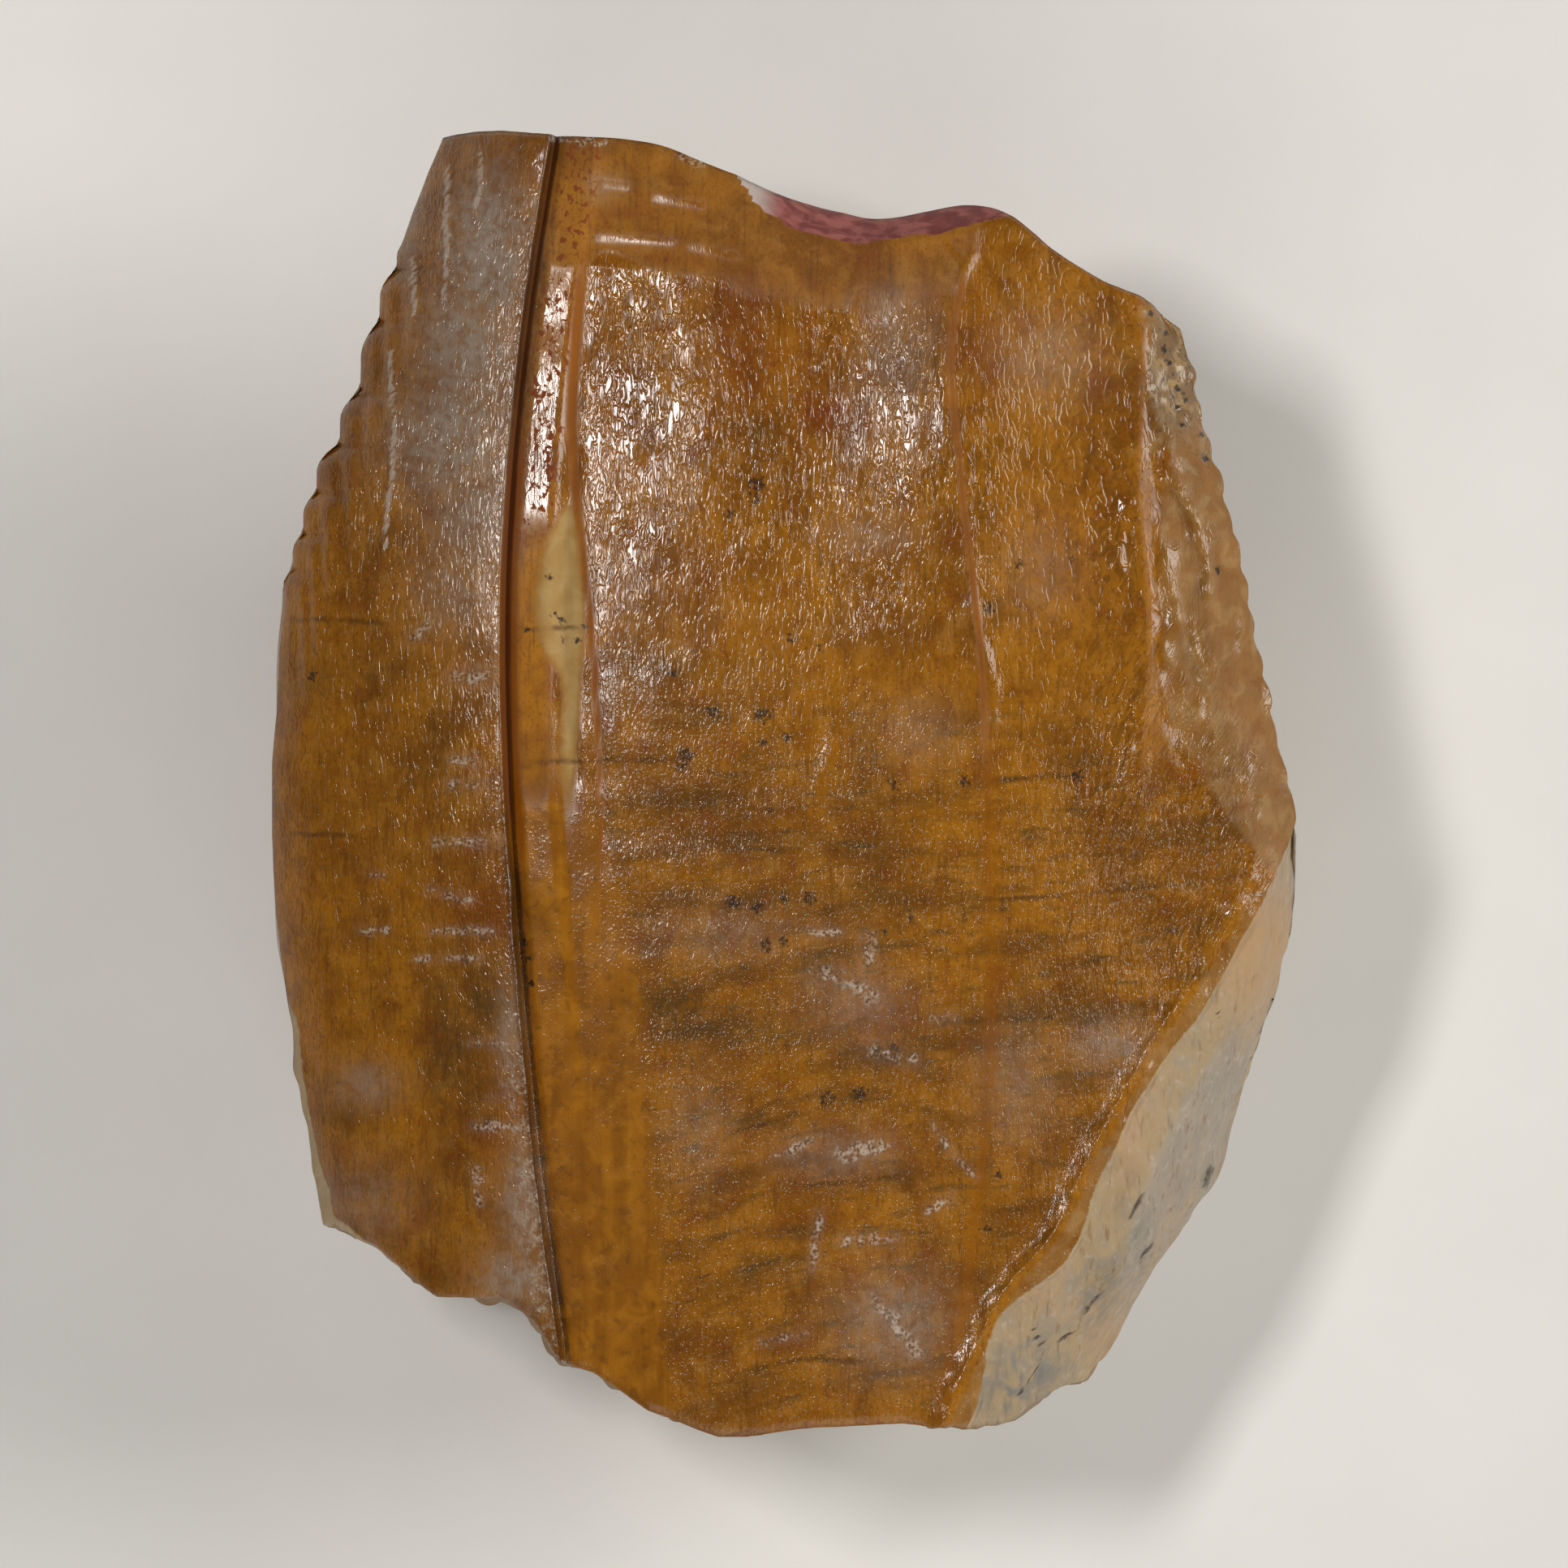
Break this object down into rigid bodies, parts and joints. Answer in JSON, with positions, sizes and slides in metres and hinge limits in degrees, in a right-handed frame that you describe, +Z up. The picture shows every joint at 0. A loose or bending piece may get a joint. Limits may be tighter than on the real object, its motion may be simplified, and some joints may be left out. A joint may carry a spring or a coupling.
{
  "type": "fossil dinosaur tooth crown",
  "caption": "Worn fossil tooth crown of a plant-eating dinosaur, lying on its back: ridged enamel face, denticled margin, wear facet behind the tip and a broken base.",
  "frame": {"origin": "middle of the tooth's footprint, on the surface it lies on", "axes": "+X across the crown, away from the denticled margin; +Y along the crown towards the worn tip; +Z up, out of the enamel face"},
  "size_m": [0.0189, 0.024, 0.0091],
  "materials": {
    "tooth": "glossy amber-brown enamel with cream dentine where it ends"
  },
  "bodies": {
    "root": {"tooth": "tooth"}
  },
  "joints": []
}
